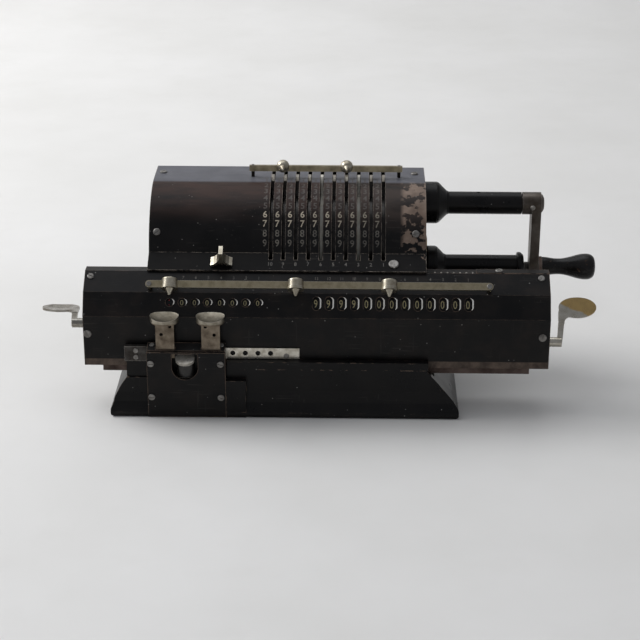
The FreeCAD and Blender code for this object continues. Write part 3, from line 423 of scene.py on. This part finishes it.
def floor_paint():
    """Off-white board with faint cool and warm clouds."""
    paint = Paint("floor_board")
    cloud = paint.noise(0.16, 4.0)
    small = paint.noise(0.035, 5.0)
    color = paint.mix(paint.ramp(cloud, 0.35, 0.68), (0.74, 0.73, 0.71), (0.69, 0.68, 0.655))
    color = paint.mix(paint.ramp(small, 0.55, 0.8, 0.0, 0.25), color, (0.66, 0.65, 0.62))
    paint.bump(paint.noise(0.004, 4.0), 0.0002, 0.25)
    return paint.surface(color, paint.ramp(small, 0.3, 0.7, 0.5, 0.66))


def mesh_piece(name, build, material, body):
    """A mesh object made by a function that fills a bmesh."""
    shape = bmesh.new()
    build(shape)
    data = bpy.data.meshes.new(name)
    shape.to_mesh(data)
    shape.free()
    piece = bpy.data.objects.new(name, data)
    bpy.context.scene.collection.objects.link(piece)
    data.materials.append(material)
    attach(piece, body)
    return piece


glyphs = {}


def glyph(text, weight):
    """The text as flat faces one unit high, centred on the origin; weight thickens its outline."""
    if (text, weight) in glyphs:
        return glyphs[text, weight]
    curve = bpy.data.curves.new("glyph", "FONT")
    curve.body = text
    curve.resolution_u = 3
    curve.offset = weight
    holder = bpy.data.objects.new("glyph", curve)
    bpy.context.scene.collection.objects.link(holder)
    bpy.context.view_layer.update()
    mesh = bpy.data.meshes.new_from_object(holder.evaluated_get(bpy.context.evaluated_depsgraph_get()))
    points = [vertex.co.copy() for vertex in mesh.vertices]
    faces = [tuple(face.vertices) for face in mesh.polygons]
    low = Vector((min(p.x for p in points), min(p.y for p in points)))
    high = Vector((max(p.x for p in points), max(p.y for p in points)))
    middle = (low + high) / 2
    height = high.y - low.y
    flat = [((p.x - middle.x) / height, (p.y - middle.y) / height) for p in points]
    bpy.data.objects.remove(holder)
    bpy.data.curves.remove(curve)
    bpy.data.meshes.remove(mesh)
    glyphs[text, weight] = (flat, faces)
    return glyphs[text, weight]


def flat_text(shape, text, place, down, out, height, narrow=0.85, weight=painted_weight):
    """Text on a flat face: place is its middle, down points to its foot and out leaves the face."""
    points, faces = glyph(text, weight)
    corners = [shape.verts.new(place + Vector((x * height * narrow, 0, 0)) - down * (y * height) + out * lift)
               for x, y in points]
    for face in faces:
        shape.faces.new([corners[index] for index in face])


def wrapped_text(shape, text, x, axis, radius, angle, height, narrow, weight):
    """Text round a wheel or the cover; the angle is forward of straight up, in radians."""
    points, faces = glyph(text, weight)
    corners = []
    for across, up in points:
        turn = angle - up * height / radius
        reach = radius + lift
        corners.append(shape.verts.new((x + across * height * narrow, axis.y - reach * math.sin(turn),
                                        axis.z + reach * math.cos(turn))))
    for face in faces:
        shape.faces.new([corners[index] for index in face])


def cover_figures(figures):
    """The chosen figures of the column to the left of every slot."""
    def build(shape):
        for x in slot_x:
            for figure in figures:
                angle = math.radians(cover_figure_step * figure + cover_figure_start)
                wrapped_text(shape, str(figure), x - pitch / 2, drum_axis, cover_radius, angle,
                             cover_figure_height, cover_figure_width, painted_weight)
    return build


def skirt_figures(shape):
    """The slot numbers, 10 at the left and 1 at the right."""
    for index, x in enumerate(slot_x):
        flat_text(shape, str(10 - index), crease.lerp(lip, 0.62) + Vector((x, 0, 0)), skirt_down, skirt_out,
                  skirt_figure_height)


def carriage_numerals(shape):
    """Small place numbers above the windows."""
    for places in (counter_x, result_x):
        for index, x in enumerate(places):
            flat_text(shape, str(len(places) - index), upper_bend.lerp(middle_bend, 0.30) + Vector((x, 0, 0)),
                      upper_down, upper_out, carriage_figure_height)


window_angle = math.atan2(-facet_out.y, facet_out.z)


def wheel_figures(places, shows, height, narrow, only=None):
    """Figures round each wheel, the one shown at the window; only picks the first wheel's 1, or all but it."""
    def build(shape):
        for place, shown in zip(places, shows):
            for figure in range(10):
                if only is not None and (figure == 1 and place == places[0]) != only:
                    continue
                angle = window_angle + (figure - shown) * math.tau / 10
                wrapped_text(shape, str(figure), place - figure_shift, dial_axis, dial_radius, angle,
                             height, narrow, wheel_weight)
    return build


def window_rims(shape):
    """Painted highlights: bright crescents on the right of the windows, where the bevel faces the light from the
    upper left.
    """
    windows = [(x, *round_window) for x in counter_x]
    windows += [(x, *long_window) for x in result_x]
    steps = 20
    first_angle = -45
    swept_angle = 115
    crown = 0.00016
    for x, half_width, half_height, width in windows:
        straight = half_height - half_width
        middle = window_middle + Vector((x, 0, 0))
        inner = []
        outer = []
        for step in range(steps + 1):
            angle = math.radians(first_angle + swept_angle * step / steps)
            rise = math.sin(angle) * half_width + math.copysign(straight, angle)
            reach = math.cos(angle) * half_width
            swell = width * math.sin(math.pi * (0.04 + 0.92 * step / steps))
            inner.append(middle + Vector((reach, 0, 0)) - facet_down * rise)
            outer.append(middle + Vector((reach + swell, 0, 0)) - facet_down * rise * 1.02)
        low = [shape.verts.new(point + facet_out * lift) for point in inner]
        top = [shape.verts.new((a + b) / 2 + facet_out * crown) for a, b in zip(inner, outer)]
        far = [shape.verts.new(point + facet_out * lift) for point in outer]
        for index in range(steps):
            shape.faces.new((low[index], low[index + 1], top[index + 1], top[index]))
            shape.faces.new((top[index], top[index + 1], far[index + 1], far[index]))


def dome(shape, middle, side, up, radius, rise):
    """A low dome on a flat face; side and up span the face."""
    out = side.cross(up)
    turns = 16
    rings = []
    for level in range(5):
        tilt = level * math.pi / 10
        reach = radius * math.cos(tilt)
        lifted = middle + out * (rise * math.sin(tilt))
        rings.append([shape.verts.new(lifted + side * (reach * math.cos(turn * math.tau / turns))
                                      + up * (reach * math.sin(turn * math.tau / turns))) for turn in range(turns)])
    for lower, upper in zip(rings, rings[1:]):
        for turn in range(turns):
            after = (turn + 1) % turns
            shape.faces.new((lower[turn], lower[after], upper[after], upper[turn]))
    shape.faces.new(rings[-1])


def rack_pins(shape):
    """A row of small domed pins on the carriage's top, to the right of the drum cover."""
    for index in range(top_pin_count):
        middle = first_top_pin + Vector((pitch / 2 * index, 0, 0))
        dome(shape, middle, Vector((1, 0, 0)), Vector((0, 1, 0)), *top_pin_size)


def hub_pin(shape):
    """The domed head of the pin that holds the crank's hub on its shaft."""
    dome(shape, hub_pin_place, Vector((1, 0, 0)), Vector((0, 0, 1)), *hub_pin_size)


def paint_nodes():
    """Gives every carried-over node its material."""
    black = lacquer("black_lacquer")
    tube_black = lacquer("tube_lacquer", 0.05, 0.1, 0.2)
    carriage_black = lacquer("carriage_lacquer", 0.15, 0.8, 0.26, carriage_bare_height)
    frame_black = lacquer("frame_lacquer", 0.5, 0.7, 0.32)
    box_black = lacquer("box_lacquer", 0.1, 1.0, 0.28)
    warm = nickel("warm_nickel")
    key_plate = nickel("key_nickel", (0.34, 0.31, 0.25), (0.16, 0.14, 0.105), 0.26,
                       stem=(key_cap_foot, (0.20, 0.165, 0.125), (0.095, 0.073, 0.053)))
    pale = nickel("pale_nickel", (0.62, 0.59, 0.52), (0.32, 0.285, 0.22), 0.2)
    mirror = nickel("paddle_nickel", (0.31, 0.295, 0.265), (0.165, 0.145, 0.12), 0.13)
    heads = nickel("screw_nickel", (0.26, 0.25, 0.235), (0.14, 0.13, 0.12), 0.36, rim=0.15)
    # Painted highlight: a bright cream, non-metal copy of the ring for slots 03 and 06, as if lit deep in their slots
    lit_ring_copy = nickel("ring_painted_highlight", (0.95, 0.92, 0.82), (0.86, 0.80, 0.66), 0.3, 0.0, 0.05)
    rail_look = ((0.33, 0.285, 0.195), (0.20, 0.17, 0.11), 0.3, 1.0, 0.15)
    olive = nickel("olive_nickel", *rail_look)
    top_rail = nickel("top_rail_nickel", *rail_look,
                      stem=(top_rail_foot, (0.03, 0.026, 0.022), (0.014, 0.012, 0.011)))
    crank_steel = aged_steel("crank_steel", (0.12, 0.105, 0.092), (0.062, 0.050, 0.040), 0.3)
    steel = aged_steel("aged_steel")
    brown = aged_steel("brown_steel", (0.20, 0.155, 0.13), (0.085, 0.055, 0.042), 0.38)
    plate_brown = aged_steel("plate_brown", (0.10, 0.075, 0.065), (0.05, 0.035, 0.03), 0.38)
    dark = aged_steel("dark_steel", (0.09, 0.085, 0.08), (0.035, 0.03, 0.026), 0.36)
    yellow = brass()
    wheels = dial_paint()
    choices = {
        "base_casting": black, "base_bottom_plate": dark, "front_guide_rail": black, "rear_guide_rail": steel,
        "drum_cover": worn_cover_paint(), "rear_cover": black, "left_side_frame": frame_black,
        "right_side_frame": frame_black, "drum_bushes": yellow, "transfer_bearers": dark, "tie_rods": steel,
        "crank_sleeve": tube_black, "crank_rest_post": tube_black, "top_marker_rail": top_rail,
        "shift_box": box_black, "shift_box_front_plate": box_black, "left_rail_bracket": dark, "frame_screws": heads,
        "crank_shaft": crank_steel, "crank_gear": yellow, "crank_arm": crank_steel, "handle_pin": dark,
        "handle_collar": brown, "crank_handle": handle_paint(), "pinwheel_drum": dark, "drum_gear": yellow,
        "counter_finger": steel, "transfer_gears": yellow, "carriage_cover": carriage_black,
        "carriage_left_end": brown, "carriage_right_end": brown, "carriage_bottom_rail": plate_brown,
        "dial_shaft": steel, "front_marker_rail": olive, "step_rack": pale, "carriage_screws": heads,
        "counter_dials": wheels, "result_dials": wheels, "result_clear_lever": golden_paddle(),
        "counter_clear_lever": mirror, "shift_key_left": key_plate, "shift_key_right": key_plate,
        "release_button": button_metal(), "setting_clear_lever": warm,
    }
    ring = lever_metal()
    for node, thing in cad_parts.items():
        material = choices.get(node)
        if node.startswith("setting_lever_"):
            material = lit_ring_copy if node in ("setting_lever_03", "setting_lever_06") else ring
        if node.startswith(("front_marker_", "top_marker_")) and material is None:
            material = warm
        thing.data.materials.clear()
        thing.data.materials.append(material)


def add_details():
    cream = figure_paint("bright_cover_figures", (0.52, 0.455, 0.345), (0.32, 0.275, 0.21), 0.56, 0.6)
    grey = figure_paint("grey_cover_figures", (0.17, 0.155, 0.128), (0.085, 0.076, 0.065), 0.50, 0.5)
    brown = figure_paint("rubbed_cover_figures", (0.085, 0.068, 0.056), (0.050, 0.040, 0.034), 0.48)
    faint = figure_paint("faint_figures", (0.15, 0.135, 0.115), (0.055, 0.05, 0.044), 0.44)
    ivory = figure_paint("wheel_figures", (0.50, 0.43, 0.22), (0.36, 0.31, 0.17), 0.60)
    red = figure_paint("red_figure", (0.80, 0.06, 0.07), (0.66, 0.045, 0.055), 0.80)
    # Painted highlight: bright metal for the lit side of the window bevels
    rim = nickel("bevel_highlight_metal", (0.92, 0.90, 0.85), (0.70, 0.67, 0.60), 0.25, 0.4)
    dull = nickel("dull_pins", (0.34, 0.32, 0.29), (0.20, 0.185, 0.165), 0.3, 0.8)
    mesh_piece("cover_figures_bright", cover_figures((6, 7)), cream, "frame")
    mesh_piece("cover_figures_grey", cover_figures((8, 9)), grey, "frame")
    mesh_piece("cover_figures_rubbed", cover_figures(range(6)), brown, "frame")
    mesh_piece("skirt_slot_numbers", skirt_figures, faint, "frame")
    mesh_piece("carriage_place_numbers", carriage_numerals, faint, "carriage")
    mesh_piece("counter_figures", wheel_figures(counter_x, counter_shows, *counter_figure_size, False), ivory,
               "counter_wheels")
    mesh_piece("counter_red_figure", wheel_figures(counter_x, counter_shows, *counter_figure_size, True), red,
               "counter_wheels")
    mesh_piece("result_figures", wheel_figures(result_x, result_shows, *result_figure_size), ivory,
               "result_wheels")
    mesh_piece("window_rims", window_rims, rim, "carriage")
    mesh_piece("carriage_top_pins", rack_pins, dull, "carriage")
    mesh_piece("crank_hub_pin", hub_pin, dull, "crank")


def add_stage():
    """A pale board that sweeps up into the backdrop."""
    shape = bmesh.new()
    profile = [Vector((0, -1.6, 0)), Vector((0, 0.9, 0))]
    bend = 0.5
    for step in range(1, 13):
        angle = math.radians(90 * step / 12)
        profile.append(Vector((0, 0.9 + bend * math.sin(angle), bend - bend * math.cos(angle))))
    profile.append(Vector((0, 1.4, 2.6)))
    rows = [[shape.verts.new(point + Vector((x, 0, 0))) for point in profile] for x in (-2.2, 2.2)]
    for index in range(len(profile) - 1):
        shape.faces.new((rows[0][index], rows[1][index], rows[1][index + 1], rows[0][index + 1]))
    data = bpy.data.meshes.new("floor")
    shape.to_mesh(data)
    shape.free()
    for face in data.polygons:
        face.use_smooth = True
    floor = bpy.data.objects.new("floor", data)
    bpy.context.scene.collection.objects.link(floor)
    data.materials.append(floor_paint())


def aimed(thing, place, target):
    thing.location = place
    direction = Vector(target) - Vector(place)
    thing.rotation_euler = direction.to_track_quat("-Z", "Y").to_euler()


def area_light(name, place, target, width, height, power, color):
    data = bpy.data.lights.new(name, "AREA")
    data.shape = "RECTANGLE"
    data.size = width
    data.size_y = height
    data.energy = power
    data.color = color
    light = bpy.data.objects.new(name, data)
    bpy.context.scene.collection.objects.link(light)
    aimed(light, place, target)


def add_lights():
    area_light("window_light", (-1.55, 0.50, 1.22), (0.05, 0.05, 0.03), 1.2, 0.9, 33, (0.99, 0.99, 1.0))
    area_light("top_fill", (-0.2, 0.55, 1.8), (0, 0.15, 0), 1.6, 1.2, 9, (0.95, 0.97, 1.0))
    world = bpy.data.worlds.new("studio")
    bpy.context.scene.world = world
    world.use_nodes = True
    sky = world.node_tree.nodes["Background"]
    sky.inputs["Color"].default_value = (0.86, 0.89, 0.96, 1)
    sky.inputs["Strength"].default_value = 0.36


def add_camera():
    """The photograph's view, found by fitting the machine's own corners."""
    distance = 1.07066
    target = Vector((0.0192, 0, 0.03544))
    pitch_down = math.radians(22.83)
    yaw = math.radians(-1.03)
    roll = math.radians(0.115)
    forward = Vector((math.sin(yaw) * math.cos(pitch_down), math.cos(yaw) * math.cos(pitch_down),
                      -math.sin(pitch_down)))
    data = bpy.data.cameras.new("camera")
    data.sensor_width = 36
    data.lens = 100.6
    camera = bpy.data.objects.new("camera", data)
    bpy.context.scene.collection.objects.link(camera)
    turn = forward.to_track_quat("-Z", "Y").to_matrix() @ Matrix.Rotation(roll, 3, "Z")
    camera.matrix_world = Matrix.Translation(target - forward * distance) @ turn.to_4x4()
    bpy.context.scene.camera = camera


paint_nodes()
add_details()
add_stage()
add_lights()
add_camera()
bpy.context.scene.view_settings.view_transform = "Standard"
